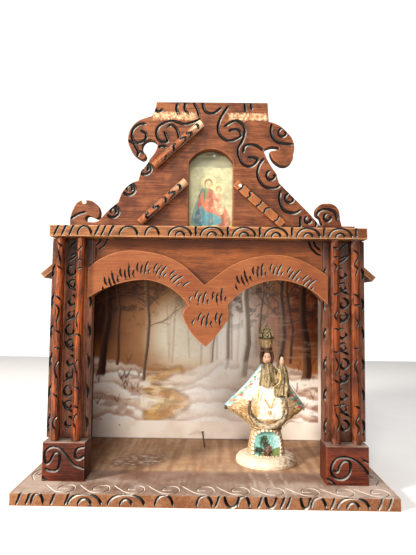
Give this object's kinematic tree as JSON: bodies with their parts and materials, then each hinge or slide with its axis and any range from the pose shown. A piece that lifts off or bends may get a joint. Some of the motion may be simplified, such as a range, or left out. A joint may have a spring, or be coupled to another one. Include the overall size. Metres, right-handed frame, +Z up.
{
  "type": "wooden shrine",
  "caption": "Small wooden household shrine: open box on a carved base with scrolled pediment, column fronts, woodland print and a resting votive figure.",
  "frame": {"origin": "centre of the base board's underside", "axes": "+Z up; the open front faces -Y; +X is the viewer's right when facing the front"},
  "size_m": [0.33, 0.168, 0.3668],
  "materials": {
    "dusty_base_wood": "dusty worn varnish",
    "red_brown_wood": "worn varnish",
    "dark_carved_wood": "dark worn varnish",
    "orange_wood": "worn varnish",
    "cream_painted_wood": "worn paint",
    "printed_paper": "satin print",
    "small_card_paper": "satin print",
    "painted_plaster": "painted cast plaster",
    "nail_steel": "dull wire"
  },
  "bodies": {
    "root": {"base_board": "dusty_base_wood", "plinth_left": "red_brown_wood", "plinth_right": "red_brown_wood", "stile_left": "dark_carved_wood", "stile_right": "dark_carved_wood", "column_left_outer": "red_brown_wood", "column_left_inner": "red_brown_wood", "column_right_inner": "red_brown_wood", "column_right_outer": "red_brown_wood", "side_wall_left": "red_brown_wood", "side_wall_right": "red_brown_wood", "back_panel": "dark_carved_wood", "landscape_card": "printed_paper", "lintel_panel": "red_brown_wood", "arch_board": "orange_wood", "top_board": "red_brown_wood", "pediment_board": "red_brown_wood", "niche_card": "small_card_paper", "pediment_batten": "dark_carved_wood", "rake_rod_upper_left": "cream_painted_wood", "rake_rod_lower_left": "orange_wood", "rake_strip_lower_right": "orange_wood", "awning_left": "red_brown_wood", "awning_right": "red_brown_wood", "floor_nail": "nail_steel", "figurine": "painted_plaster"}
  },
  "joints": []
}
